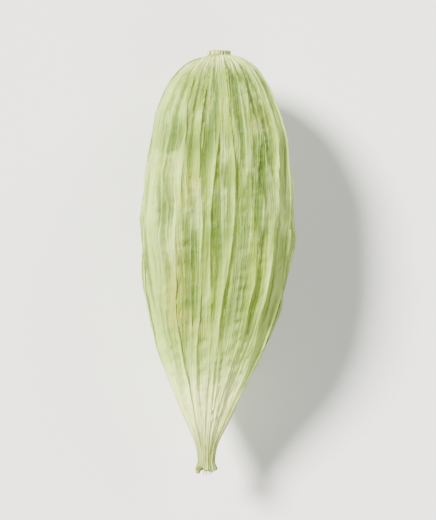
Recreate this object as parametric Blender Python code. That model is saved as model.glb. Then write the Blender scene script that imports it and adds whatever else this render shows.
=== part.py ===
"""A dried green cardamom pod lying on the ground.

The pod grew as one piece: a papery three-cornered capsule, with the stub of its stalk at one end and the dry
beak left by the flower at the other. Metres, +Z up. It lies along Y with its beak towards -Y and one flat
face up, and the origin is on the ground under the middle of its box.
"""

import math

import bmesh
import bpy
from mathutils import Vector

# Driving dimensions, in metres
POD_LENGTH = 0.0175
BODY_RADIUS = 0.00284
STALK_RADIUS = 0.00050
STALK_DISH = 0.00010
BEAK_ROOT_RADIUS = 0.00052
BEAK_TIP_RADIUS = 0.00032
BEAK_LIP = 0.00012
BEAK_HOLLOW = 0.00032

# Places along the pod, as shares of its length counted from the stalk
BODY_START = 0.012
WIDEST = 0.40
BODY_END = 0.96
BEND_START = 0.45
BEAK_START = 0.84
LIP_START = 0.965

# Long profile of the capsule, and how softly it runs into the stalk and the beak
BLUNT_POWER = 0.40
TAPER_POWER = 2.1
JOIN_POWER = 3.0

# Cross section: three rounded corners, with flat faces between them and a shallow furrow down each face
CORNER_DEGREES = (31.0, 156.0, 270.0)
CORNER_RISE = 0.095
FURROW_DEPTH = 0.00009
FURROW_WIDTH = 0.09
TWIST_DEGREES = 9.0

# Step in radians between one rib or seed and the next, in the waves that make no two of them alike
UNEVEN_STEP = 2.4

# Ribs of the husk: places and widths are counted in rib spacings, and strengths in rib heights
RIBS_PER_FACE = 8
RIB_COUNT = 3 * RIBS_PER_FACE
RIB_HEIGHT = 0.00012
RIB_WIDTH = 0.27
RIB_MEAN = 0.82
RIB_SPREAD = 0.32
RIB_SWELL = 0.25
RIB_SHIFT = 0.20
RIB_WANDER = 0.20
RIB_WAVES = 1.6
RIB_FADE_POWER = 0.8
CORNER_RIB = 1.6

# Two rows of seeds press out the husk beside each corner
SEEDS_PER_ROW = 4
SEED_COUNT = 3 * 2 * SEEDS_PER_ROW
SEED_RISE = 0.00022
SEED_MEAN = 0.76
SEED_SPREAD = 0.24
SEED_PITCH = 0.0028
SEED_STAGGER = 0.0007
SEED_JITTER = 0.0003
SEED_LENGTH = 0.00068
SEED_DEGREES = 13.0
SEED_ROW_DEGREES = 22.0
SEED_ROW_JITTER = 4.0
FIRST_SEED = 0.0034

# Waves round the torn rim of the beak: their number, their share of the depth and their start in turns
TEAR_DEPTH = 0.00034
TEAR_WAVES = ((2, 0.35, 0.10), (3, 0.40, 0.62), (7, 0.25, 0.35))

# How the pod lies: its axis bends a little, and the corner that it lies on is pressed flat
BEAK_SWING = 0.00052
BEAK_DROOP = 0.00040
PRESSED_DEPTH = 0.00050

# Mesh
SAMPLES_PER_RIB = 4
RING_SPACING = 0.00040
RING_EASE = 0.07

# Rounded rims of the two ends, and the rings that close them, as shares of the radius there
RIM = 0.00010
STALK_RIM_SHARE = 0.80
STALK_DISH_SHARE = 0.45
BEAK_RIM_SHARE = 0.86
BEAK_HOLLOW_SHARE = 0.50

HUSK_GREEN = (0.42, 0.50, 0.17, 1.0)
HUSK_ROUGHNESS = 0.62


def clear_scene():
    """Remove whatever the scene holds."""
    for obj in list(bpy.data.objects):
        bpy.data.objects.remove(obj)


def smooth_step(value, low, high):
    """0 below low, 1 above high, and a smooth rise between."""
    share = min(max((value - low) / (high - low), 0.0), 1.0)
    return share * share * (3.0 - 2.0 * share)


def bell(offset):
    """1 in the middle, fading smoothly to either side."""
    return math.exp(-offset * offset / 2)


def body_profile(along):
    """Share of the full radius: a blunt dome towards the stalk, and a longer taper towards the beak."""
    if not BODY_START < along < BODY_END:
        return 0.0
    if along < WIDEST:
        return (1.0 - ((WIDEST - along) / (WIDEST - BODY_START)) ** 2) ** BLUNT_POWER
    return 1.0 - ((along - WIDEST) / (BODY_END - WIDEST)) ** TAPER_POWER


def stem_radius(along):
    """Radius of what shows of the stalk at one end, and of the beak with its small lip at the other."""
    if along < WIDEST:
        return STALK_RADIUS
    narrowing = (BEAK_ROOT_RADIUS - BEAK_TIP_RADIUS) * smooth_step(along, BEAK_START, 1.0)
    return BEAK_ROOT_RADIUS - narrowing + BEAK_LIP * smooth_step(along, LIP_START, 1.0)


def mean_radius(along):
    """Body and stem joined with a smooth hollow between them."""
    body = BODY_RADIUS * body_profile(along)
    return (body**JOIN_POWER + stem_radius(along) ** JOIN_POWER) ** (1.0 / JOIN_POWER)


def face_phase(degrees):
    """Count of corners passed on the way round: whole at a corner, and even steps between two corners."""
    turned = (degrees - CORNER_DEGREES[0]) % 360.0 + CORNER_DEGREES[0]
    corners = [*CORNER_DEGREES, CORNER_DEGREES[0] + 360.0]
    for index in range(3):
        if turned < corners[index + 1]:
            return index + (turned - corners[index]) / (corners[index + 1] - corners[index])
    return 3.0


def seed_place(number):
    """Distance from the stalk, direction in degrees and size of the bulge over one seed."""
    row, place = divmod(number, SEEDS_PER_ROW)
    corner, side = divmod(row, 2)
    side = 2 * side - 1
    distance = FIRST_SEED + place * SEED_PITCH + side * SEED_STAGGER
    distance += SEED_JITTER * math.sin(UNEVEN_STEP * number)
    direction = CORNER_DEGREES[corner] + side * SEED_ROW_DEGREES
    direction += SEED_ROW_JITTER * math.sin(2.0 * UNEVEN_STEP * number)
    return distance, direction, SEED_MEAN + SEED_SPREAD * math.sin(3.0 * UNEVEN_STEP * number)


def seed_relief(along, degrees):
    """Height that the seeds push the husk out to."""
    height = 0.0
    for number in range(SEED_COUNT):
        distance, direction, size = seed_place(number)
        around = (degrees - direction + 180.0) % 360.0 - 180.0
        height += size * bell((along * POD_LENGTH - distance) / SEED_LENGTH) * bell(around / SEED_DEGREES)
    return SEED_RISE * height


def rib_strength(number, along):
    """Strength of one rib, which swells and sinks along the pod. A corner's rib is the strongest."""
    swell = 1.0 + RIB_SWELL * math.sin(math.tau * RIB_WAVES * along + number)
    if number % RIBS_PER_FACE == 0:
        return CORNER_RIB * swell
    return (RIB_MEAN + RIB_SPREAD * math.sin(UNEVEN_STEP * number)) * swell


def rib_place(number, along):
    """Where one rib runs, counted in rib spacings. It wanders, and a corner's stays near the corner."""
    wander = RIB_WANDER * math.sin(math.tau * RIB_WAVES * along + UNEVEN_STEP * number)
    if number % RIBS_PER_FACE == 0:
        return number + wander / 2
    return number + wander + RIB_SHIFT * math.sin(2.0 * UNEVEN_STEP * number)


def rib_relief(along, phase):
    """Height of the ribs, which start at the stalk and close up again at the beak."""
    height = 0.0
    for number in range(RIB_COUNT):
        gap = phase * RIBS_PER_FACE - rib_place(number, along)
        gap -= RIB_COUNT * round(gap / RIB_COUNT)
        height += rib_strength(number, along) * bell(gap / RIB_WIDTH)
    return RIB_HEIGHT * height * (mean_radius(along) / BODY_RADIUS) ** RIB_FADE_POWER


def furrow(phase):
    """Depth of the furrow down the middle of a face."""
    return FURROW_DEPTH * bell((phase % 1.0 - 0.5) / FURROW_WIDTH)


def tear(along, angle):
    """How far the torn rim of the beak falls short of the full length."""
    wave = sum(share * math.sin(math.tau * start + count * angle) for count, share, start in TEAR_WAVES)
    return TEAR_DEPTH * smooth_step(along, LIP_START, 1.0) * (1.0 - wave) / 2


def husk_point(along, angle, scale):
    """A point of the husk, for a share of the length and a direction round the axis."""
    fullness = body_profile(along)
    degrees = math.degrees(angle) - TWIST_DEGREES * (along - 0.5)
    phase = face_phase(degrees)
    radius = mean_radius(along) * (1.0 + CORNER_RISE * math.sqrt(fullness) * math.cos(math.tau * phase))
    radius += fullness * (seed_relief(along, degrees) - furrow(phase)) + rib_relief(along, phase)
    bend = smooth_step(along, BEND_START, 1.0)
    return Vector(
        (
            scale * radius * math.cos(angle) - BEAK_SWING * bend,
            POD_LENGTH * (0.5 - along) + tear(along, angle),
            scale * radius * math.sin(angle) - BEAK_DROOP * bend,
        )
    )


def ring_stations():
    """Share of the length and of the radius for each ring. The stalk ends in a dish, the beak in a hollow."""
    rim = RIM / POD_LENGTH
    stations = [(STALK_DISH / POD_LENGTH, STALK_DISH_SHARE), (0.0, STALK_RIM_SHARE)]
    count = round(POD_LENGTH / RING_SPACING)
    for index in range(count + 1):
        share = index / count
        eased = share - RING_EASE * math.sin(math.tau * share)
        stations.append((rim + (1.0 - 2.0 * rim) * eased, 1.0))
    hollow = 1.0 - BEAK_HOLLOW / POD_LENGTH
    return stations + [(1.0, BEAK_RIM_SHARE), (hollow, BEAK_HOLLOW_SHARE)]


def ring_angles():
    """Directions round the pod, the same number for each rib."""
    per_face = RIBS_PER_FACE * SAMPLES_PER_RIB
    corners = [*CORNER_DEGREES, CORNER_DEGREES[0] + 360.0]
    angles = []
    for first, second in zip(corners, corners[1:]):
        angles += [math.radians(first + (second - first) * step / per_face) for step in range(per_face)]
    return angles


def press_flat(mesh):
    """Lay the pod on the ground with a small flat spot, and centre its box on the origin."""
    ground = min(vert.co.z for vert in mesh.verts) + PRESSED_DEPTH
    middle = Vector((0.0, 0.0, ground))
    for axis in (0, 1):
        reach = [vert.co[axis] for vert in mesh.verts]
        middle[axis] = (min(reach) + max(reach)) / 2
    for vert in mesh.verts:
        vert.co.z = max(vert.co.z, ground)
        vert.co -= middle


def build_husk():
    """The whole pod as one closed mesh."""
    mesh = bmesh.new()
    angles = ring_angles()
    rings = [
        [mesh.verts.new(husk_point(along, angle, scale)) for angle in angles]
        for along, scale in ring_stations()
    ]
    for first, second in zip(rings, rings[1:]):
        for index in range(len(angles)):
            following = (index + 1) % len(angles)
            mesh.faces.new((first[index], first[following], second[following], second[index]))
    for ring in (rings[0], rings[-1]):
        pole = mesh.verts.new(sum((vert.co for vert in ring), Vector()) / len(ring))
        for index in range(len(angles)):
            mesh.faces.new((pole, ring[index], ring[(index + 1) % len(angles)]))
    bmesh.ops.recalc_face_normals(mesh, faces=mesh.faces)
    press_flat(mesh)
    return mesh


def husk_material():
    """Dry papery husk, dull yellow-green."""
    material = bpy.data.materials.new("cardamom_husk")
    material.use_nodes = True
    shader = material.node_tree.nodes["Principled BSDF"]
    shader.inputs["Base Color"].default_value = HUSK_GREEN
    shader.inputs["Roughness"].default_value = HUSK_ROUGHNESS
    shader.inputs["Metallic"].default_value = 0.0
    return material


def main():
    """Build the pod."""
    clear_scene()
    mesh = build_husk()
    data = bpy.data.meshes.new("cardamom_pod")
    mesh.to_mesh(data)
    mesh.free()
    data.materials.append(husk_material())
    data.shade_smooth()
    pod = bpy.data.objects.new("cardamom_pod", data)
    bpy.context.scene.collection.objects.link(pod)


main()
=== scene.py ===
"""Looks of a dried green cardamom pod that lies on a pale floor, seen from above with its stalk end up."""

import logging
import math
from dataclasses import dataclass, field, fields
from enum import Enum
from functools import partial
from typing import Callable

import bpy
from mathutils import Matrix, Vector


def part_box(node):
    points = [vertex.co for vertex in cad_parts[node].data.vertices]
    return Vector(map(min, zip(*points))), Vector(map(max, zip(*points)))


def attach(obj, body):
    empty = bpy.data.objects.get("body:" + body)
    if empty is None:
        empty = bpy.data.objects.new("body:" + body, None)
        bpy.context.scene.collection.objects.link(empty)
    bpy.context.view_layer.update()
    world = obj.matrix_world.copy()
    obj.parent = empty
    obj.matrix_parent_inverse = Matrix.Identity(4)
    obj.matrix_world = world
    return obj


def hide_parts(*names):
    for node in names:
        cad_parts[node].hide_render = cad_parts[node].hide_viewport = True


log = logging.getLogger("cardamom_pod")

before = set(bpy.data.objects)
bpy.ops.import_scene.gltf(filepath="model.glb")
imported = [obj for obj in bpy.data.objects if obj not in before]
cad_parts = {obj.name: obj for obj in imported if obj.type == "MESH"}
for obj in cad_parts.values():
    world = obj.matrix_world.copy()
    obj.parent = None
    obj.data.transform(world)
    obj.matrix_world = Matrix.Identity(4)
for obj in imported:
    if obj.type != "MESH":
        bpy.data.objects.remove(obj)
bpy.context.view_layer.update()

MM = 0.001
TAU = math.tau

# Kinds of node that are used over and over
RANGE = "ShaderNodeMapRange"
VECTOR = "ShaderNodeVectorMath"
NOISE = "ShaderNodeTexNoise"
MIX = "ShaderNodeMix"
COMBINE = "ShaderNodeCombineXYZ"
SEPARATE = "ShaderNodeSeparateXYZ"
STORE = "GeometryNodeStoreNamedAttribute"
MOVE = "GeometryNodeSetPosition"

# How a range runs from its start to its end
SOFT = "SMOOTHSTEP"
EVEN = "LINEAR"

# Radius of the body without its ribs and corners, as a share of the box's width
BODY_SHARE = 0.445
# A point nearer the middle of an end than this share of its radius lies on the flat floor of its dish
DISH_MIDDLE = 0.40
# Waves round the torn rim of the beak: their number, their share of the depth and their start in turns
TEAR_WAVES = ((2, 0.35, 0.10), (3, 0.40, 0.62), (7, 0.25, 0.35))

# Types: what adds a node, what can feed an input, feeds by name, and what makes those of one like thing
Adder = Callable[..., bpy.types.Node]
Feed = bpy.types.NodeSocket | bpy.types.Node
Fields = dict[str, Feed]
OneOfMany = Callable[[bpy.types.NodeSocket], list[bpy.types.Node]]


def linear(hex_colour: str) -> tuple[float, float, float, float]:
    """Turn an sRGB hex colour into the linear colour that shaders take.

    Args:
        hex_colour: Six hex digits after a hash, such as "#A9B46E".

    Returns:
        Linear red, green and blue, and an alpha of 1.
    """
    shares = [int(hex_colour[start : start + 2], 16) / 255 for start in (1, 3, 5)]
    curved = [share / 12.92 if share <= 0.04045 else ((share + 0.055) / 1.055) ** 2.4 for share in shares]
    return (*curved, 1.0)


def add_node(
    tree: bpy.types.NodeTree,
    kind: str,
    *values: object,
    named: dict[str, object] | None = None,
    **settings: object,
) -> bpy.types.Node:
    """Add one node, set its properties and feed its inputs.

    Args:
        tree: Node tree that the node goes into.
        kind: Blender's name for the kind of node, or the operation of a Math node, such as "ADD".
        values: What each input in use takes, in order: a plain value, a socket, a node whose first output in
            use is meant, or None to leave the input alone.
        named: The same for inputs that are given by name.
        settings: The node's own properties.

    Returns:
        The new node.
    """
    if kind.isupper():
        kind, settings["operation"] = "ShaderNodeMath", kind
    node = tree.nodes.new(kind)
    for name, value in settings.items():
        setattr(node, name, value)
    feeds = list(zip([socket for socket in node.inputs if socket.enabled], values))
    feeds += [(node.inputs[name], value) for name, value in (named or {}).items()]
    for socket, value in feeds:
        if isinstance(value, bpy.types.Node):
            value = next(output for output in value.outputs if output.enabled)
        if isinstance(value, bpy.types.NodeSocket):
            tree.links.new(value, socket)
        elif value is not None:
            socket.default_value = value
    return node


def new_geometry_tree(name: str, sizes: object) -> tuple[bpy.types.NodeTree, Fields]:
    """Start a geometry tree that has one named input for each size.

    Args:
        name: Name of the tree.
        sizes: Dataclass whose fields are whole numbers and floats.

    Returns:
        The tree, and the sockets of its inputs by field name.
    """
    tree = bpy.data.node_groups.new(name, "GeometryNodeTree")
    tree.interface.new_socket("Geometry", in_out="OUTPUT", socket_type="NodeSocketGeometry")
    for size in fields(sizes):
        whole = isinstance(getattr(sizes, size.name), int)
        kind = "NodeSocketInt" if whole else "NodeSocketFloat"
        tree.interface.new_socket(size.name, in_out="INPUT", socket_type=kind)
    entry = tree.nodes.new("NodeGroupInput")
    return tree, {size.name: entry.outputs[size.name] for size in fields(sizes)}


def finish_geometry_tree(tree: bpy.types.NodeTree, shape: Feed, material: bpy.types.Material) -> None:
    """End a geometry tree with smooth shading, real geometry and a material.

    Args:
        tree: The tree.
        shape: Node or socket that holds the finished shape.
        material: What the shape is made of.
    """
    add = partial(add_node, tree)
    smooth = add("GeometryNodeSetShadeSmooth", shape)
    real = add("GeometryNodeRealizeInstances", smooth)
    dressed = add("GeometryNodeSetMaterial", real, named={"Material": material})
    add("NodeGroupOutput", dressed)


def grow(name: str, tree: bpy.types.NodeTree, sizes: object) -> bpy.types.Object:
    """Run a geometry tree once and keep its result as a plain mesh.

    Args:
        name: Name of the finished piece.
        tree: Geometry tree with one input for each size.
        sizes: Dataclass that holds the sizes.

    Returns:
        The piece, at the origin, with no modifier.
    """
    piece = bpy.data.objects.new(name, bpy.data.meshes.new(f"{name}_blank"))
    bpy.context.scene.collection.objects.link(piece)
    modifier = piece.modifiers.new("grow", "NODES")
    modifier.node_group = tree
    for item in tree.interface.items_tree:
        if item.in_out == "INPUT":
            modifier[item.identifier] = getattr(sizes, item.name)
    graph = bpy.context.evaluated_depsgraph_get()
    mesh = bpy.data.meshes.new_from_object(
        piece.evaluated_get(graph), preserve_all_data_layers=True, depsgraph=graph
    )
    piece.modifiers.remove(modifier)
    piece.data = mesh
    mesh.name = name
    return piece


@dataclass(frozen=True)
class HuskShape:
    """Sizes of the husk in metres and degrees, and places along it as shares of its length from the stalk."""

    # The capsule, the stub of its stalk and its beak
    length: float
    body_radius: float
    stalk_radius: float = 0.50 * MM
    stalk_dish: float = 0.10 * MM
    beak_root_radius: float = 0.52 * MM
    beak_tip_radius: float = 0.32 * MM
    beak_lip: float = 0.12 * MM
    beak_hollow: float = 0.32 * MM
    rim: float = 0.10 * MM
    rim_bevel: float = 0.20
    dish_edge: float = 0.80
    dish_floor: float = 0.45

    # Long profile, and how softly it runs into the stalk and the beak
    body_start: float = 0.012
    widest: float = 0.40
    body_end: float = 0.96
    bend_start: float = 0.45
    beak_start: float = 0.84
    lip_start: float = 0.965
    blunt_power: float = 0.40
    taper_power: float = 2.1
    join_power: float = 3.0

    # Three rounded corners, with flat faces between them and a shallow furrow down each face
    first_corner: float = 31.0
    second_corner: float = 156.0
    third_corner: float = 270.0
    corner_rise: float = 0.095
    furrow_depth: float = 0.09 * MM
    furrow_width: float = 0.09
    twist: float = 9.0

    # Ribs: widths are counted in rib spacings and strengths in rib heights, and the step makes them differ
    uneven_step: float = 2.4
    rib_count: int = 24
    rib_height: float = 0.12 * MM
    rib_width: float = 0.27
    rib_mean: float = 0.82
    rib_spread: float = 0.32
    rib_swell: float = 0.25
    rib_shift: float = 0.20
    rib_wander: float = 0.20
    rib_waves: float = 1.6
    rib_fade_power: float = 0.8
    corner_rib: float = 1.6
    crest_height: float = 0.075 * MM
    crest_width: float = 0.085

    # Two rows of seeds press out the husk beside each corner
    seeds_per_row: int = 4
    seed_rise: float = 0.22 * MM
    seed_mean: float = 0.76
    seed_spread: float = 0.24
    seed_pitch: float = 2.8 * MM
    seed_stagger: float = 0.7 * MM
    seed_jitter: float = 0.3 * MM
    seed_length: float = 0.68 * MM
    seed_degrees: float = 13.0
    seed_row_degrees: float = 22.0
    seed_row_jitter: float = 4.0
    first_seed: float = 3.4 * MM

    # The torn rim of the beak, and how the pod bends and lies
    tear_depth: float = 0.34 * MM
    beak_swing: float = 0.52 * MM
    beak_droop: float = 0.40 * MM
    pressed_depth: float = 0.61 * MM
    pressed_edge: float = 0.06 * MM

    # Fine relief. The skin lies further in than the solid's, so that what stands out of it stays in its box
    vein_height: float = 0.050 * MM
    vein_spacing: float = 0.42 * MM
    vein_length: float = 5.0 * MM
    vein_sharpness: float = 20.0
    stria_height: float = 0.060 * MM
    stria_spacing: float = 0.17 * MM
    stria_length: float = 3.0 * MM
    crinkle_height: float = 0.110 * MM
    crinkle_spacing: float = 0.30 * MM
    crinkle_width: float = 0.6 * MM
    dent_height: float = 0.10 * MM
    dent_spacing: float = 1.6 * MM
    skin_inset: float = 0.11 * MM
    crinkle_on_ribs: float = 0.25
    relief_on_beak: float = 0.25
    relief_fades: float = 0.80
    relief_faded: float = 0.95
    smooth_foot: float = 0.35 * MM

    # Points of the mesh, which stand closer together towards the ends
    around: int = 288
    rings: int = 300
    cap_rings: int = 12
    ring_ease: float = 0.07


@dataclass(frozen=True)
class DryHusk:
    """Dried husk of a ripe green capsule: papery, fibrous plant skin, shrunk over its ribs and seeds."""

    # It gives the eye a matt yellow-green with a painted highlight on the seed bulges, painted shade in the
    # valleys and in the hollows between the seeds, pale veins on the ribs, nearly white ends that are
    # brightened into painted highlights at the stalk cap and the beak's root, and a dull satin gleam. Real
    # cells are about 0.03 mm wide and fibres 0.02 mm, too fine to show, so the net, the fibres and the grain
    # are drawn several times as coarse.

    # Dark green for dark patches and dark fibres, also painted shade in the valleys between the ribs and in
    # the hollows between the seeds
    dark_green_and_valley_shade: str = "#5A7424"
    flesh: str = "#88A232"
    pale_green_and_bulge_highlight: str = "#B8D468"
    # Pale green for light fibre streaks, also a painted highlight on the seed bulges
    ridge: str = "#AEC658"
    yellowed: str = "#A2A035"
    bloom: str = "#BFD57C"
    vein: str = "#C6D97C"
    corner: str = "#B4CC68"
    pale_end: str = "#C0DE68"
    # Straw and cream are the ends' own pale colours, brightened into painted highlights at the stalk cap and
    # the beak's root
    straw: str = "#D9E88A"
    cream_and_beak_root_highlight: str = "#F2FFA0"
    tip: str = "#ADBF5E"
    scar: str = "#A0864F"
    fleck: str = "#6E5A2C"
    smoothest: float = 0.58
    roughest: float = 0.76
    ior: float = 1.45
    specular_level: float = 0.3
    bump_depth: float = 0.11 * MM
    cell_width: float = 0.20 * MM
    cell_length: float = 0.75 * MM
    fibre_spacing: float = 0.11 * MM
    fibre_length: float = 4.0 * MM
    patch_spacing: float = 2.6 * MM
    bloom_spacing: float = 1.3 * MM
    fleck_spacing: float = 1.5 * MM
    fleck_radius: float = 0.07 * MM
    grain_spacing: float = 0.06 * MM

    def material(self, length: float) -> bpy.types.Material:
        """Build the material.

        Args:
            length: Length of the pod, which places the pale ends.

        Returns:
            The material, which reads Object coordinates and the attributes that the husk's tree stores.
        """
        material = bpy.data.materials.new("papery_dried_husk")
        material.use_nodes = True
        tree = material.node_tree
        tree.nodes.clear()
        add = partial(add_node, tree)

        husk_space = add("ShaderNodeAttribute", attribute_name="husk_space").outputs["Vector"]
        rib, crest, corner, seed, vein, hub = [
            add("ShaderNodeAttribute", attribute_name=name).outputs["Fac"]
            for name in ("rib", "crest", "corner", "seed", "vein", "hub")
        ]
        place = add("ShaderNodeTexCoord").outputs["Object"]
        along = add("MULTIPLY", add(SEPARATE, husk_space).outputs["Z"], 1 / length)

        thin, long = 1 / self.fibre_spacing, 1 / self.fibre_length
        drawn_out = add(VECTOR, husk_space, (thin, thin, long), operation="MULTIPLY")
        fibre = add(NOISE, named={"Vector": drawn_out, "Scale": 1.0, "Detail": 4.0, "Roughness": 0.6})
        patch = add(NOISE, named={"Vector": place, "Scale": 1 / self.patch_spacing, "Detail": 3.0})
        bloom_scale = 1 / self.bloom_spacing
        dust = add(NOISE, named={"Vector": place, "Scale": bloom_scale, "Detail": 5.0, "Roughness": 0.6})
        grain = add(NOISE, named={"Vector": place, "Scale": 1 / self.grain_spacing, "Detail": 2.0})
        fleck = add("ShaderNodeTexVoronoi", named={"Vector": place, "Scale": 1 / self.fleck_spacing})
        fleck_edge = self.fleck_radius / self.fleck_spacing

        # The fibres fray the painted highlight and shade over the seeds, and where the pale ends begin
        off_middle = add("SUBTRACT", fibre, 0.5)
        frayed = add("MULTIPLY_ADD", off_middle, 0.9, seed)
        ragged = add("MULTIPLY_ADD", off_middle, 0.20, along)

        # What tints are held to: the stalk's half, wholly or mostly, valleys, ribs, and broken lines
        stalk_half = add(RANGE, along, 0.60, 0.42, 0.15, 1.0, interpolation_type=SOFT)
        mostly_stalk_half = add(RANGE, stalk_half, 0.15, 1.0, 0.5, 1.0)
        in_valleys = add(RANGE, rib, 0.70, 0.30)
        on_ribs = add(RANGE, rib, 0.20, 0.60, 0.30, 1.0)
        along_fibres = add(RANGE, fibre, 0.40, 0.58, 0.35, 1.0)
        in_dashes = add(RANGE, fibre, 0.30, 0.60, 0.35, 1.0)

        # Each tint covers those before it: its mask, where that starts and is full, the share, what holds it
        tints = (
            # Flesh covers the ribs; the valleys between them keep the dark green as painted shade in the
            # creases
            (self.flesh, rib, 0.14, 0.62, 1.00, SOFT, ()),
            (self.yellowed, patch, 0.50, 0.70, 0.60, SOFT, ()),
            # Painted shade in the hollows between the seed bulges, in the valleys of the stalk's half
            (self.dark_green_and_valley_shade, frayed, 0.40, 0.00, 0.60, SOFT, (in_valleys, stalk_half)),
            # Painted highlight on the seed bulges, on the ribs of the stalk's half
            (self.pale_green_and_bulge_highlight, frayed, 0.20, 1.00, 0.85, SOFT, (on_ribs, stalk_half)),
            (self.ridge, rib, 1.00, 1.70, 0.60, SOFT, ()),
            (self.corner, corner, 0.84, 0.98, 0.70, SOFT, ()),
            (self.dark_green_and_valley_shade, patch, 0.50, 0.36, 0.55, SOFT, (stalk_half,)),
            (self.bloom, dust, 0.48, 0.70, 0.60, SOFT, (along_fibres, stalk_half)),
            (self.pale_green_and_bulge_highlight, fibre, 0.51, 0.68, 0.65, SOFT, (mostly_stalk_half,)),
            (self.dark_green_and_valley_shade, fibre, 0.49, 0.33, 0.75, SOFT, ()),
            (self.vein, vein, 0.50, 1.00, 0.40, EVEN, (in_dashes,)),
            (self.vein, crest, 0.50, 1.50, 0.45, EVEN, (in_dashes,)),
            (self.fleck, fleck, fleck_edge, 0.02, 0.80, EVEN, ()),
            # Straw at the stalk cap: its own pale colour, brightened into a painted highlight
            (self.straw, ragged, 0.070, 0.015, 0.90, SOFT, ()),
            (self.pale_end, ragged, 0.60, 0.80, 0.80, SOFT, ()),
            # Cream at the beak's root: the beak's own pale colour, brightened into a painted highlight
            (self.cream_and_beak_root_highlight, ragged, 0.73, 0.84, 1.00, SOFT, ()),
            (self.tip, ragged, 0.88, 0.95, 0.80, SOFT, ()),
            (self.scar, hub, 0.85, 0.55, 0.80, SOFT, ()),
        )
        colour = linear(self.dark_green_and_valley_shade)
        for tint, mask, start, full, share, run, holds in tints:
            cover = add(RANGE, mask, start, full, 0.0, share, interpolation_type=run)
            for hold in holds:
                cover = add("MULTIPLY", cover, hold)
            colour = add(MIX, cover, colour, linear(tint), data_type="RGBA")

        # Relief of the skin: plump cells in a warped net, puckered where the bloom is, over fibres and grain
        per_width, per_length = 1 / self.cell_width, 1 / self.cell_length
        netted = add(VECTOR, husk_space, (per_width, per_width, per_length), operation="MULTIPLY")
        warp = add(NOISE, named={"Vector": netted, "Scale": 0.7, "Detail": 3.0})
        netted = add(VECTOR, netted, warp.outputs["Color"], operation="ADD")
        cell = add("ShaderNodeTexVoronoi", named={"Vector": netted, "Scale": 1.0}, feature="DISTANCE_TO_EDGE")
        plump = add(RANGE, cell, 0.0, 0.30, 0.0, 1.0, interpolation_type=SOFT)
        puckered = add(RANGE, dust, 0.40, 0.65, 0.03, 0.26)
        relief = add("MULTIPLY_ADD", grain, 0.22, fibre)
        relief = add("MULTIPLY_ADD", plump, puckered, relief)
        bump = add("ShaderNodeBump", named={"Strength": 1.0, "Distance": self.bump_depth, "Height": relief})
        roughness = add(RANGE, dust, 0.3, 0.7, self.smoothest, self.roughest)
        shader = add(
            "ShaderNodeBsdfPrincipled",
            named={
                "Base Color": colour,
                "Roughness": roughness,
                "IOR": self.ior,
                "Specular IOR Level": self.specular_level,
                "Normal": bump,
            },
        )
        add("ShaderNodeOutputMaterial", shader)
        return material


@dataclass(frozen=True)
class DryFibre:
    """Bare plant fibre from a torn husk: dry strands of cellulose."""

    # It gives the eye a straw colour with brown streaks and no gleam. A real fibre's streaks are finer than
    # its own 0.02 mm, too fine to show, so they are drawn many times as coarse
    straw: str = "#E9E0B0"
    brown: str = "#A88B56"
    roughness: float = 0.7
    streak_spacing: float = 0.15 * MM

    def material(self) -> bpy.types.Material:
        """Build the material.

        Returns:
            The material, which reads Object coordinates.
        """
        material = bpy.data.materials.new("torn_dry_fibre")
        material.use_nodes = True
        tree = material.node_tree
        tree.nodes.clear()
        add = partial(add_node, tree)
        place = add("ShaderNodeTexCoord").outputs["Object"]
        streak = add(NOISE, named={"Vector": place, "Scale": 1 / self.streak_spacing, "Detail": 2.0})
        share = add(RANGE, streak, 0.40, 0.65, 0.0, 0.8)
        colour = add(MIX, share, linear(self.straw), linear(self.brown), data_type="RGBA")
        shader = add("ShaderNodeBsdfPrincipled", named={"Base Color": colour, "Roughness": self.roughness})
        add("ShaderNodeOutputMaterial", shader)
        return material


@dataclass(frozen=True)
class BackdropPaper:
    """Matt background paper: uncoated pressed cellulose."""

    # It gives the eye an even, nearly white ground with no gleam
    colour: str = "#F2F1EE"
    roughness: float = 0.95
    specular_level: float = 0.1

    def material(self) -> bpy.types.Material:
        """Build the material.

        Returns:
            The material.
        """
        material = bpy.data.materials.new("background_paper")
        material.use_nodes = True
        shader = material.node_tree.nodes["Principled BSDF"]
        shader.inputs["Base Color"].default_value = linear(self.colour)
        shader.inputs["Roughness"].default_value = self.roughness
        shader.inputs["Specular IOR Level"].default_value = self.specular_level
        return material


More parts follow.
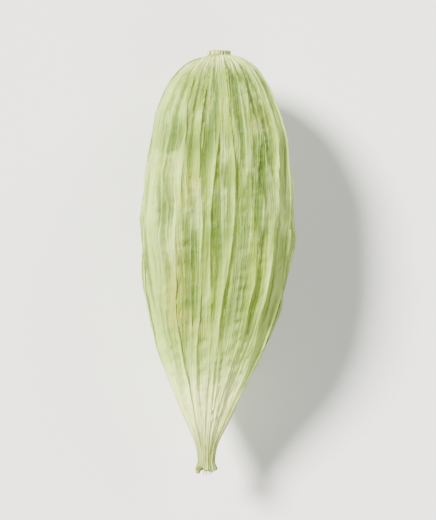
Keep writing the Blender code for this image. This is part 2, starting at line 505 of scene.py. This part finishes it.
@dataclass
class Husk:
    """The pod's papery capsule with its stalk stub and its beak, grown as one piece."""

    shape: HuskShape
    finish: DryHusk = field(default_factory=DryHusk)
    node: str = "cardamom_pod"

    def build(self) -> bpy.types.Object:
        """Grow the husk and put it in the place of its solid.

        Returns:
            The finished piece.
        """
        tree, size = new_geometry_tree("husk", self.shape)
        add = partial(add_node, tree)
        counts = [size[name] for name in ("around", "rings", "cap_rings")]
        blank = add("GeometryNodeMeshCylinder", *counts, 1.0, 1.0, fill_type="TRIANGLE_FAN")
        at = self.places(add, size)
        at["corner"] = add("COSINE", add("MULTIPLY", at["phase"], TAU))
        at["rib"], at["crest"] = self.ribs(add, size, at)
        (at["seed"],) = self.seeds(add, size, at)
        at["vein"] = self.veins(add, size, at)
        straight = at["husk_space"]
        shape = add(STORE, blank.outputs["Mesh"], None, "husk_space", straight, data_type="FLOAT_VECTOR")
        for name in ("rib", "crest", "corner", "seed", "vein", "hub"):
            shape = add(STORE, shape, None, name, at[name])
        shape = add(MOVE, shape, None, self.point(add, size, at))
        # The move turns the blank's Z into Y and mirrors it on the way, so its faces are turned back outwards
        shape = add("GeometryNodeFlipFaces", shape)
        shape = self.press(add, size, shape)
        shape = self.wrinkle(add, size, shape)
        finish_geometry_tree(tree, shape, self.finish.material(self.shape.length))
        piece = grow("pod_husk", tree, self.shape)
        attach(piece, "root")
        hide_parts(self.node)
        return piece

    def places(self, add: Adder, size: Fields) -> Fields:
        """Say where each point of the blank cylinder lies on the husk.

        Args:
            add: Adds a node to the tree.
            size: The tree's inputs.

        Returns:
            Fields by name: the angle and its sine and cosine, "hub" (0 in the middle of an end, 1 at its
            rim), "along", "turned" (degrees past the first corner, freed of the twist), "to_second" and
            "to_third" (degrees to those corners), "phase" (corners passed), "fullness", "radius" and
            "husk_space", the place on the pod as if it were a straight tube.
        """
        # The blank is 1 in radius and stands on Z. Its rings are eased together towards both ends
        axes = add(SEPARATE, add("GeometryNodeInputPosition"))
        angle = add("ARCTAN2", axes.outputs["Y"], axes.outputs["X"])
        flat = add(COMBINE, axes.outputs["X"], axes.outputs["Y"])
        hub = add(VECTOR, flat, operation="LENGTH")
        share = add("SUBTRACT", 0.5, axes.outputs["Z"])
        wave = add("SINE", add("MULTIPLY", share, TAU))
        easing = add("MULTIPLY", wave, size["ring_ease"])
        along = add("SUBTRACT", share, easing)

        # The way round the pod, in degrees and then in corners, which aren't evenly spaced
        off_middle = add("SUBTRACT", along, 0.5)
        twisted = add("MULTIPLY", off_middle, size["twist"])
        degrees = add("DEGREES", angle)
        untwisted = add("SUBTRACT", degrees, twisted)
        from_corner = add("SUBTRACT", untwisted, size["first_corner"])
        turned = add("FLOORED_MODULO", from_corner, 360.0)
        to_second = add("SUBTRACT", size["second_corner"], size["first_corner"])
        to_third = add("SUBTRACT", size["third_corner"], size["first_corner"])
        phase = add(RANGE, turned, 0.0, to_second)
        phase = add("ADD", phase, add(RANGE, turned, to_second, to_third))
        phase = add("ADD", phase, add(RANGE, turned, to_third, 360.0))

        # The body is blunt at the stalk and drawn out towards the beak
        blunt = add(RANGE, along, size["widest"], size["body_start"])
        blunt = add("MULTIPLY", blunt, blunt)
        blunt = add("POWER", add("SUBTRACT", 1.0, blunt), size["blunt_power"])
        taper = add(RANGE, along, size["widest"], size["body_end"])
        taper = add("POWER", taper, size["taper_power"])
        taper = add("SUBTRACT", 1.0, taper)
        fullness = add("MULTIPLY", blunt, taper)
        body = add("MULTIPLY", fullness, size["body_radius"])

        # The body runs softly into the stub of the stalk and into the beak
        beak = add(
            RANGE,
            along,
            size["beak_start"],
            1.0,
            size["beak_root_radius"],
            size["beak_tip_radius"],
            interpolation_type=SOFT,
        )
        lip = add(RANGE, along, size["lip_start"], 1.0, 0.0, size["beak_lip"], interpolation_type=SOFT)
        beak = add("ADD", beak, lip)
        past_widest = add("GREATER_THAN", along, size["widest"])
        stem = add(MIX, past_widest, size["stalk_radius"], beak)
        thick = add("POWER", body, size["join_power"])
        thin = add("POWER", stem, size["join_power"])
        root = add("DIVIDE", 1.0, size["join_power"])
        radius = add("POWER", add("ADD", thick, thin), root)

        straight = add("RADIANS", turned)
        sideways = add("MULTIPLY", add("COSINE", straight), size["body_radius"])
        upwards = add("MULTIPLY", add("SINE", straight), size["body_radius"])
        lengthways = add("MULTIPLY", along, size["length"])
        return {
            "angle": angle,
            "cosine": add("COSINE", angle),
            "sine": add("SINE", angle),
            "hub": hub,
            "along": along,
            "turned": turned,
            "to_second": to_second,
            "to_third": to_third,
            "phase": phase,
            "fullness": fullness,
            "radius": radius,
            "husk_space": add(COMBINE, sideways, upwards, lengthways),
        }

    def bell(self, add: Adder, square: Feed) -> bpy.types.Node:
        """Bell curve, from the square of the distance from its middle in the curve's widths."""
        return add("EXPONENT", add("MULTIPLY", square, -0.5))

    def total(self, add: Adder, count: Feed, one: OneOfMany) -> list[bpy.types.NodeSocket]:
        """Add up fields over a count of like things, such as ribs or seeds.

        Args:
            add: Adds a node to the tree.
            count: How many there are.
            one: Makes the fields for one of them from its number.

        Returns:
            The sum of each field.
        """
        start = add("GeometryNodeRepeatInput")
        end = add("GeometryNodeRepeatOutput")
        start.pair_with_output(end)
        end.repeat_items.clear()
        link = start.id_data.links.new
        link(add("ADD", count, 0.0).outputs[0], start.inputs["Iterations"])
        heights = one(start.outputs["Iteration"])
        names = [f"Height {number}" for number in range(len(heights))]
        for name, height in zip(names, heights):
            end.repeat_items.new("FLOAT", name)
            so_far = add("ADD", start.outputs[name], height)
            link(so_far.outputs[0], end.inputs[name])
        return [end.outputs[name] for name in names]

    def ribs(self, add: Adder, size: Fields, at: Fields) -> list[bpy.types.NodeSocket]:
        """Height of the ribs and of the vein on the crest of each. Every rib wanders and swells differently.

        Args:
            add: Adds a node to the tree.
            size: The tree's inputs.
            at: The fields of places.

        Returns:
            The two fields, in rib heights and in crest heights.
        """
        waves = add("MULTIPLY", size["rib_waves"], TAU)
        sway = add("MULTIPLY", at["along"], waves)
        per_face = add("DIVIDE", size["rib_count"], 3.0)
        counted = add("MULTIPLY", at["phase"], per_face)
        half_count = add("DIVIDE", size["rib_count"], 2.0)
        minus_half = add("MULTIPLY", half_count, -1.0)

        def one_rib(number: bpy.types.NodeSocket) -> list[bpy.types.Node]:
            """Height of one rib and of its crest.

            Args:
                number: Which rib it is.

            Returns:
                The two fields.
            """
            step = add("MULTIPLY", number, size["uneven_step"])
            past_corner = add("FLOORED_MODULO", number, per_face)
            on_corner = add("LESS_THAN", past_corner, 0.5)
            off_corner = add("SUBTRACT", 1.0, on_corner)

            # Where the rib runs: one on a corner wanders half as far and isn't shifted
            wander = add("SINE", add("ADD", sway, step))
            wander = add("MULTIPLY", wander, size["rib_wander"])
            held = add("MULTIPLY_ADD", on_corner, -0.5, 1.0)
            shift = add("SINE", add("MULTIPLY", step, 2.0))
            shift = add("MULTIPLY", shift, size["rib_shift"])
            rib_place = add("MULTIPLY_ADD", wander, held, number)
            rib_place = add("MULTIPLY_ADD", shift, off_corner, rib_place)
            gap = add("SUBTRACT", counted, rib_place)
            gap = add("WRAP", gap, half_count, minus_half)

            # How high it stands there
            swell = add("SINE", add("ADD", sway, number))
            swell = add("MULTIPLY_ADD", swell, size["rib_swell"], 1.0)
            uneven = add("SINE", step)
            uneven = add("MULTIPLY_ADD", uneven, size["rib_spread"], size["rib_mean"])
            strength = add(MIX, on_corner, uneven, size["corner_rib"])
            strength = add("MULTIPLY", strength, swell)
            heights = []
            for width in ("rib_width", "crest_width"):
                offset = add("DIVIDE", gap, size[width])
                square = add("MULTIPLY", offset, offset)
                heights.append(add("MULTIPLY", strength, self.bell(add, square)))
            return heights

        return self.total(add, size["rib_count"], one_rib)

    def seeds(self, add: Adder, size: Fields, at: Fields) -> list[bpy.types.NodeSocket]:
        """Height of the bulges over the seeds: two rows beside each corner.

        Args:
            add: Adds a node to the tree.
            size: The tree's inputs.
            at: The fields of places.

        Returns:
            One field, in seed heights.
        """
        distance = add("MULTIPLY", at["along"], size["length"])

        def one_seed(number: bpy.types.NodeSocket) -> list[bpy.types.Node]:
            """Height of the bulge over one seed.

            Args:
                number: Which seed it is.

            Returns:
                The field, alone in its list.
            """
            # Which corner it belongs to, on which side of it, and which place in its row
            step = add("MULTIPLY", number, size["uneven_step"])
            row = add("FLOOR", add("DIVIDE", number, size["seeds_per_row"]))
            place = add("FLOORED_MODULO", number, size["seeds_per_row"])
            corner = add("FLOOR", add("DIVIDE", row, 2.0))
            side = add("FLOORED_MODULO", row, 2.0)
            side = add("MULTIPLY_ADD", side, 2.0, -1.0)

            # How far it is from there lengthways, in seed lengths
            start = add("MULTIPLY_ADD", side, size["seed_stagger"], size["first_seed"])
            start = add("MULTIPLY_ADD", place, size["seed_pitch"], start)
            jitter = add("SINE", step)
            start = add("MULTIPLY_ADD", jitter, size["seed_jitter"], start)
            lengthways = add("SUBTRACT", distance, start)
            lengthways = add("DIVIDE", lengthways, size["seed_length"])

            # And how far round the pod, in seed widths
            past_first = add("GREATER_THAN", corner, 0.5)
            past_second = add("GREATER_THAN", corner, 1.5)
            direction = add("MULTIPLY", past_first, at["to_second"])
            direction = add(MIX, past_second, direction, at["to_third"])
            direction = add("MULTIPLY_ADD", side, size["seed_row_degrees"], direction)
            jitter = add("SINE", add("MULTIPLY", step, 2.0))
            direction = add("MULTIPLY_ADD", jitter, size["seed_row_jitter"], direction)
            around = add("SUBTRACT", at["turned"], direction)
            around = add("WRAP", around, 180.0, -180.0)
            around = add("DIVIDE", around, size["seed_degrees"])

            uneven = add("SINE", add("MULTIPLY", step, 3.0))
            uneven = add("MULTIPLY_ADD", uneven, size["seed_spread"], size["seed_mean"])
            squares = add("MULTIPLY", lengthways, lengthways)
            squares = add("MULTIPLY_ADD", around, around, squares)
            return [add("MULTIPLY", uneven, self.bell(add, squares))]

        count = add("MULTIPLY", size["seeds_per_row"], 6.0)
        return self.total(add, count, one_seed)

    def veins(self, add: Adder, size: Fields, at: Fields) -> bpy.types.Node:
        """Height of the fine veins between the ribs, which run along the pod, part and meet again.

        Args:
            add: Adds a node to the tree.
            size: The tree's inputs.
            at: The fields of places.

        Returns:
            The field, in vein heights: 1 where a stretched noise crosses its middle value, 0 away from there.
        """
        per_spacing = add("DIVIDE", 1.0, size["vein_spacing"])
        per_length = add("DIVIDE", 1.0, size["vein_length"])
        stretch = add(COMBINE, per_spacing, per_spacing, per_length)
        place = add(VECTOR, at["husk_space"], stretch, operation="MULTIPLY")
        noise = add(NOISE, named={"Vector": place, "Scale": 1.0, "Detail": 1.0})
        off_line = add("ABSOLUTE", add("SUBTRACT", noise, 0.5))
        off_line = add("MULTIPLY", off_line, size["vein_sharpness"])
        square = add("MULTIPLY", off_line, off_line)
        return self.bell(add, square)

    def tear(self, add: Adder, size: Fields, at: Fields) -> bpy.types.Node:
        """How far the torn rim of the beak falls short of the full length.

        Args:
            add: Adds a node to the tree.
            size: The tree's inputs.
            at: The fields of places.

        Returns:
            The field.
        """
        wave = 1.0
        for count, share, start in TEAR_WAVES:
            turn = add("MULTIPLY_ADD", at["angle"], float(count), TAU * start)
            wave = add("MULTIPLY_ADD", add("SINE", turn), -share, wave)
        deepest = add("MULTIPLY", size["tear_depth"], 0.5)
        depth = add(RANGE, at["along"], size["lip_start"], 1.0, 0.0, deepest, interpolation_type=SOFT)
        depth = add("MULTIPLY", depth, at["hub"])
        return add("MULTIPLY", depth, wave)

    def point(self, add: Adder, size: Fields, at: Fields) -> bpy.types.Node:
        """Where each point of the blank goes, before the pod is laid down.

        Args:
            add: Adds a node to the tree.
            size: The tree's inputs.
            at: The fields of places, with "rib", "crest", "seed" and "vein".

        Returns:
            The position field.
        """
        # Corners are rounder where the pod is thin, and furrows and bulges fade there
        corner = add("MULTIPLY", at["corner"], size["corner_rise"])
        roundness = add("SQRT", at["fullness"])
        section = add("MULTIPLY_ADD", corner, roundness, 1.0)
        off_middle = add("SUBTRACT", add("FRACT", at["phase"]), 0.5)
        off_middle = add("DIVIDE", off_middle, size["furrow_width"])
        square = add("MULTIPLY", off_middle, off_middle)
        furrow = add("MULTIPLY", self.bell(add, square), size["furrow_depth"])
        seeds = add("MULTIPLY", at["seed"], size["seed_rise"])
        swelling = add("SUBTRACT", seeds, furrow)

        # Ribs, crests and veins are lower where the pod is thin, and the rim of each end is bevelled
        slimness = add("DIVIDE", at["radius"], size["body_radius"])
        fade = add("POWER", slimness, size["rib_fade_power"])
        rib_height = add("MULTIPLY", at["rib"], size["rib_height"])
        rib_height = add("MULTIPLY_ADD", at["crest"], size["crest_height"], rib_height)
        rib_height = add("MULTIPLY_ADD", at["vein"], size["vein_height"], rib_height)
        rib_height = add("MULTIPLY", rib_height, fade)
        radius = add("MULTIPLY_ADD", at["radius"], section, rib_height)
        radius = add("MULTIPLY_ADD", swelling, at["fullness"], radius)
        other_end = add("SUBTRACT", 1.0, at["along"])
        from_end = add("MINIMUM", at["along"], other_end)
        from_end = add("MULTIPLY", from_end, size["length"])
        bevel = add(RANGE, from_end, size["rim"], 0.0)
        bevel = add("MULTIPLY", bevel, bevel)
        bevel = add("SQRT", add("SUBTRACT", 1.0, bevel))
        kept = add("SUBTRACT", 1.0, size["rim_bevel"])
        bevel = add("MULTIPLY_ADD", bevel, size["rim_bevel"], kept)
        radius = add("MULTIPLY", add("MULTIPLY", radius, bevel), at["hub"])

        # The beak bends aside and down
        bend = add(RANGE, at["along"], size["bend_start"], 1.0, interpolation_type=SOFT)
        swing = add("MULTIPLY", bend, size["beak_swing"])
        droop = add("MULTIPLY", bend, size["beak_droop"])
        across = add("SUBTRACT", add("MULTIPLY", radius, at["cosine"]), swing)
        height = add("SUBTRACT", add("MULTIPLY", radius, at["sine"]), droop)

        # Both ends are dished, and the beak's rim is torn
        at_beak = add("GREATER_THAN", at["along"], 0.5)
        dish = add("MULTIPLY", size["stalk_dish"], -1.0)
        depth = add(MIX, at_beak, dish, size["beak_hollow"])
        inwards = add(RANGE, at["hub"], size["dish_edge"], size["dish_floor"], interpolation_type=SOFT)
        lengthways = add("SUBTRACT", 0.5, at["along"])
        lengthways = add("MULTIPLY_ADD", lengthways, size["length"], self.tear(add, size, at))
        lengthways = add("MULTIPLY_ADD", inwards, depth, lengthways)
        return add(COMBINE, across, lengthways, height)

    def press(self, add: Adder, size: Fields, shape: Feed) -> bpy.types.Node:
        """Lay the pod on the ground with a small flat spot, and centre its box on the origin.

        Args:
            add: Adds a node to the tree.
            size: The tree's inputs.
            shape: The geometry so far.

        Returns:
            The geometry, moved.
        """
        axes = add(SEPARATE, add("GeometryNodeInputPosition"))
        middles = []
        for axis in ("X", "Y"):
            reach = add("GeometryNodeAttributeStatistic", shape, None, axes.outputs[axis])
            both = add("ADD", reach.outputs["Min"], reach.outputs["Max"])
            middles.append(add("MULTIPLY", both, 0.5))
        heights = add("GeometryNodeAttributeStatistic", shape, None, axes.outputs["Z"])
        ground = add("ADD", heights.outputs["Min"], size["pressed_depth"])
        above = add("SUBTRACT", axes.outputs["Z"], ground)
        laid = add(
            COMBINE,
            add("SUBTRACT", axes.outputs["X"], middles[0]),
            add("SUBTRACT", axes.outputs["Y"], middles[1]),
            add("SMOOTH_MAX", above, 0.0, size["pressed_edge"]),
        )
        return add(MOVE, shape, None, laid)

    def wrinkle(self, add: Adder, size: Fields, shape: Feed) -> bpy.types.Node:
        """Raise what is finer than the ribs: lengthwise striae, crinkles across them and shallow dents.

        Args:
            add: Adds a node to the tree.
            size: The tree's inputs.
            shape: The geometry so far.

        Returns:
            The geometry, with its wrinkles.
        """
        husk_space = add("GeometryNodeInputNamedAttribute", "husk_space", data_type="FLOAT_VECTOR")
        rib = add("GeometryNodeInputNamedAttribute", "rib", data_type="FLOAT")

        def relief(across: Feed, lengthways: Feed, height: Feed, detail: float) -> bpy.types.Node:
            """Noise with one spacing round the pod and another along it.

            Args:
                across: Spacing round the pod.
                lengthways: Spacing along it.
                height: How far the noise goes out and in.
                detail: How many finer noises are added.

            Returns:
                The height field.
            """
            per_across = add("DIVIDE", 1.0, across)
            per_length = add("DIVIDE", 1.0, lengthways)
            stretch = add(COMBINE, per_across, per_across, per_length)
            place = add(VECTOR, husk_space, stretch, operation="MULTIPLY")
            noise = add(NOISE, named={"Vector": place, "Scale": 1.0, "Detail": detail, "Roughness": 0.55})
            centred = add("MULTIPLY_ADD", noise, 2.0, -1.0)
            return add("MULTIPLY", centred, height)

        striae = relief(size["stria_spacing"], size["stria_length"], size["stria_height"], 2.0)
        crinkles = relief(size["crinkle_width"], size["crinkle_spacing"], size["crinkle_height"], 2.0)
        dents = relief(size["dent_spacing"], size["dent_spacing"], size["dent_height"], 1.0)
        in_valley = add(RANGE, rib, 0.9, 0.1, size["crinkle_on_ribs"], 1.0)
        crinkles = add("MULTIPLY", crinkles, in_valley)
        height = add("ADD", add("ADD", striae, crinkles), dents)
        height = add("SUBTRACT", height, size["skin_inset"])

        axes = add(SEPARATE, add("GeometryNodeInputPosition"))
        clear = add(RANGE, axes.outputs["Z"], 0.0, size["smooth_foot"], interpolation_type=SOFT)
        height = add("MULTIPLY", height, clear)
        along = add("DIVIDE", add(SEPARATE, husk_space).outputs["Z"], size["length"])
        to_beak = add(RANGE, along, size["relief_fades"], size["relief_faded"], 1.0, size["relief_on_beak"])
        height = add("MULTIPLY", height, to_beak)
        offset = add(VECTOR, add("GeometryNodeInputNormal"), named={"Scale": height}, operation="SCALE")
        return add(MOVE, shape, None, None, offset)


class PodEnd(Enum):
    """An end of the pod. The value is its side of the pod's middle on Y."""

    STALK = 1
    BEAK = -1


@dataclass(frozen=True)
class TuftShape:
    """Sizes of a tuft of fibres in metres and degrees."""

    fibres: int
    length: float
    ring_radius: float
    fibre_radius: float
    lean: float
    curl: float
    sunk: float
    shortest: float = 0.45
    tip_share: float = 0.45
    curl_spacing: float = 0.25 * MM
    steps: int = 9
    sides: int = 6
    seed: int = 3


# Real fibres are about 0.02 mm thick, too thin to show, so they are drawn two or three times as thick
TUFTS = {
    PodEnd.BEAK: TuftShape(
        fibres=9,
        length=0.50 * MM,
        ring_radius=0.15 * MM,
        fibre_radius=0.022 * MM,
        lean=16.0,
        curl=0.10 * MM,
        sunk=0.05 * MM,
    ),
    PodEnd.STALK: TuftShape(
        fibres=22,
        length=0.15 * MM,
        ring_radius=0.30 * MM,
        fibre_radius=0.030 * MM,
        lean=10.0,
        curl=0.03 * MM,
        sunk=0.04 * MM,
    ),
}


@dataclass
class FibreTuft:
    """Ends of the bundles of fibre that run through the husk, which stand out where it was torn off."""

    end: PodEnd
    husk: bpy.types.Object
    shape: TuftShape
    finish: DryFibre = field(default_factory=DryFibre)

    def build(self) -> bpy.types.Object:
        """Grow the tuft and set it in the hollow of its end.

        Returns:
            The finished piece.
        """
        tree, size = new_geometry_tree("fibre_tuft", self.shape)
        add = partial(add_node, tree)
        shape = self.strands(add, size)
        ring = add("GeometryNodeCurvePrimitiveCircle", size["sides"], named={"Radius": size["fibre_radius"]})
        share = add("GeometryNodeSplineParameter").outputs["Factor"]
        thickness = add(RANGE, share, 0.0, 1.0, 1.0, size["tip_share"])
        tubes = add("GeometryNodeCurveToMesh", shape, ring, named={"Scale": thickness, "Fill Caps": True})
        finish_geometry_tree(tree, tubes, self.finish.material())
        piece = grow(f"{self.end.name.lower()}_fibres", tree, self.shape)
        piece.data.transform(self.seat())
        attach(piece, "root")
        return piece

    def strands(self, add: Adder, size: Fields) -> bpy.types.Node:
        """Spread the fibres' centre lines over a disc. They lean outwards and curl a little.

        Args:
            add: Adds a node to the tree.
            size: The tree's inputs.

        Returns:
            The curves, which rise along Z from the origin's level.
        """
        index = add("GeometryNodeInputIndex")
        golden_turn = TAU * (3 - math.sqrt(5)) / 2
        angle = add("MULTIPLY", index, golden_turn)
        filled = add("DIVIDE", add("ADD", index, 0.5), size["fibres"])
        reach = add("MULTIPLY", add("SQRT", filled), size["ring_radius"])
        across = add("MULTIPLY", add("COSINE", angle), reach)
        upwards = add("MULTIPLY", add("SINE", angle), reach)
        roots = add("GeometryNodePoints", size["fibres"], add(COMBINE, across, upwards))

        strand = add("GeometryNodeCurvePrimitiveLine", (0.0, 0.0, 0.0), (0.0, 0.0, 1.0))
        strand = add("GeometryNodeResampleCurve", strand, None, size["steps"])
        tilt = add("MULTIPLY", add("SQRT", filled), size["lean"])
        tilt = add("RADIANS", tilt)
        turn = add(COMBINE, 0.0, tilt, angle)
        seed = {"Seed": size["seed"]}
        varied = add("FunctionNodeRandomValue", size["shortest"], 1.0, named=seed, data_type="FLOAT")
        height = add("MULTIPLY", varied, size["length"])
        placed = add(
            "GeometryNodeInstanceOnPoints",
            roots,
            named={"Instance": strand, "Rotation": turn, "Scale": add(COMBINE, height, height, height)},
        )
        real = add("GeometryNodeRealizeInstances", placed)
        per_spacing = add("DIVIDE", 1.0, size["curl_spacing"])
        wander = add(NOISE, named={"Scale": per_spacing, "Detail": 1.0})
        wander = add(VECTOR, wander.outputs["Color"], (0.5, 0.5, 0.5), operation="SUBTRACT")
        share = add("GeometryNodeSplineParameter").outputs["Factor"]
        bend = add("MULTIPLY", share, size["curl"])
        return add(MOVE, real, None, None, add(VECTOR, wander, named={"Scale": bend}, operation="SCALE"))

    def seat(self) -> Matrix:
        """Find the floor of the hollow at the end, and turn the tuft's Z outwards there.

        Returns:
            The move from the tuft's own place to its end of the pod.
        """
        side = self.end.value
        mesh = self.husk.data
        inner = [mark.value < DISH_MIDDLE for mark in mesh.attributes["hub"].data]
        floor = [point.co for point, keep in zip(mesh.vertices, inner) if keep and point.co.y * side > 0]
        middle = sum(floor, Vector()) / len(floor)
        middle.y -= side * self.shape.sunk
        outwards = Vector((0.0, side, 0.0)).to_track_quat("Z", "X")
        return Matrix.Translation(middle) @ outwards.to_matrix().to_4x4()


@dataclass(frozen=True)
class SoftLight:
    """A broad studio lamp, so far off that it lights the floor evenly. Breadth is its angle in degrees."""

    name: str
    towards: tuple[float, float, float]
    breadth: float
    strength: float
    colour: str

    def build(self) -> None:
        """Hang the lamp on the side that its direction points to."""
        data = bpy.data.lights.new(self.name, "SUN")
        data.angle = math.radians(self.breadth)
        data.energy = self.strength
        data.color = linear(self.colour)[:3]
        light = bpy.data.objects.new(self.name, data)
        light.rotation_euler = Vector(self.towards).to_track_quat("Z", "Y").to_euler()
        bpy.context.scene.collection.objects.link(light)


@dataclass
class Studio:
    """Plain floor, soft lights and a camera over the pod."""

    low: Vector
    high: Vector
    paper: BackdropPaper = field(default_factory=BackdropPaper)
    floor_radius: float = 2.0
    floor_sides: int = 96
    key: SoftLight = SoftLight(
        name="key_light",
        towards=(-0.22, 0.12, 0.24),
        breadth=18.0,
        strength=13.4,
        colour="#FFFCF6",
    )
    back: SoftLight = SoftLight(
        name="back_light",
        towards=(0.24, 0.16, 0.18),
        breadth=27.0,
        strength=1.6,
        colour="#FFFFFF",
    )
    front: SoftLight = SoftLight(
        name="front_light",
        towards=(0.10, -0.26, 0.24),
        breadth=31.0,
        strength=1.4,
        colour="#F8FAFF",
    )
    surround: str = "#F4F6FA"
    surround_light: float = 0.18
    surround_seen: float = 3.4
    lens: float = 120.0
    sensor: float = 36.0
    elevation: float = 84.0
    fill: float = 0.82
    clip_start: float = 0.002

    def build(self) -> None:
        """Build the floor, the lights, the world and the camera."""
        self.build_floor()
        for light in (self.key, self.back, self.front):
            light.build()
        self.build_world()
        self.build_camera()

    def build_floor(self) -> None:
        """Build a round paper floor."""
        radius = self.floor_radius
        turns = [TAU * side / self.floor_sides for side in range(self.floor_sides)]
        rim = [(radius * math.cos(turn), radius * math.sin(turn), 0.0) for turn in turns]
        mesh = bpy.data.meshes.new("floor")
        mesh.from_pydata(rim, [], [tuple(range(self.floor_sides))])
        mesh.materials.append(self.paper.material())
        floor = bpy.data.objects.new("floor", mesh)
        bpy.context.scene.collection.objects.link(floor)

    def build_world(self) -> None:
        """Build an even surround. It gives little light, and where it shows it is as pale as the floor."""
        world = bpy.data.worlds.new("studio")
        world.use_nodes = True
        tree = world.node_tree
        tree.nodes.clear()
        add = partial(add_node, tree)
        tint = linear(self.surround)
        lit = add("ShaderNodeBackground", tint, self.surround_light)
        seen = add("ShaderNodeBackground", tint, self.surround_seen)
        direct = add("ShaderNodeLightPath").outputs["Is Camera Ray"]
        add("ShaderNodeOutputWorld", add("ShaderNodeMixShader", direct, lit, seen))
        bpy.context.scene.world = world

    def build_camera(self) -> None:
        """Build the camera, which looks down on the pod with its stalk end up in the picture."""
        data = bpy.data.cameras.new("camera")
        data.lens = self.lens
        data.sensor_width = self.sensor
        data.clip_start = self.clip_start
        centre = (self.low + self.high) / 2
        tilt = math.radians(self.elevation)
        back = Vector((0.0, -math.cos(tilt), math.sin(tilt)))
        seen = (self.high.y - self.low.y) / self.fill
        camera = bpy.data.objects.new("camera", data)
        camera.location = centre + back * (seen * self.lens / self.sensor)
        camera.rotation_euler = (-back).to_track_quat("-Z", "Y").to_euler()
        bpy.context.scene.collection.objects.link(camera)
        bpy.context.scene.camera = camera


def main() -> None:
    """Build the pod and the studio, and report each piece."""
    logging.basicConfig(level=logging.INFO, format="%(name)s: %(message)s")
    low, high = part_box("cardamom_pod")
    husk = Husk(HuskShape(length=high[1] - low[1], body_radius=BODY_SHARE * (high[0] - low[0]))).build()
    pieces = [husk, *(FibreTuft(end, husk, shape).build() for end, shape in TUFTS.items())]
    for piece in pieces:
        log.info("%s has %d points", piece.name, len(piece.data.vertices))
    Studio(Vector(low), Vector(high)).build()


if __name__ == "__main__":
    main()
